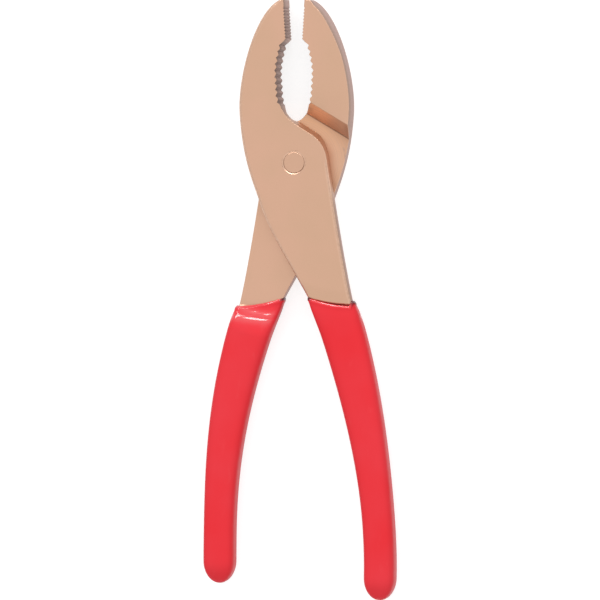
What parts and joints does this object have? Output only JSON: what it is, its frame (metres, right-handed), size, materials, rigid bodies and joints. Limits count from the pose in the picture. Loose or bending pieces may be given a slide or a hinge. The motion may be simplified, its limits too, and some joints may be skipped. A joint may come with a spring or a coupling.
{
  "type": "gas pipe pliers",
  "caption": "Riveted lap-joint gas pipe pliers in copper alloy, with serrated flat jaw ends, a toothed pipe throat and dipped red grips.",
  "frame": {"origin": "on the rivet's axis, at the flat back face that the tool lies on", "axes": "+Y along the tool towards the jaw tips, +Z along the rivet's axis out of the front face, +X to the right seen from the front"},
  "size_m": [0.0648, 0.2003, 0.011],
  "materials": {
    "lever_bronze": "satin, lightly blasted rose-coloured copper alloy",
    "rivet_bronze": "ground flush, fine satin",
    "grip_vinyl": "smooth dipped soft vinyl, glossy"
  },
  "bodies": {
    "rear_half": {"rear_lever": "lever_bronze", "rear_grip": "grip_vinyl", "pivot_rivet": "rivet_bronze"},
    "front_half": {"front_lever": "lever_bronze", "front_grip": "grip_vinyl"}
  },
  "joints": [
    {"name": "jaw_pivot", "type": "hinge", "parent": "rear_half", "child": "front_half", "pos_m": [0, 0, 0.0055], "axis": [0, 0, 1], "range_deg": [-7.2, 60]}
  ]
}
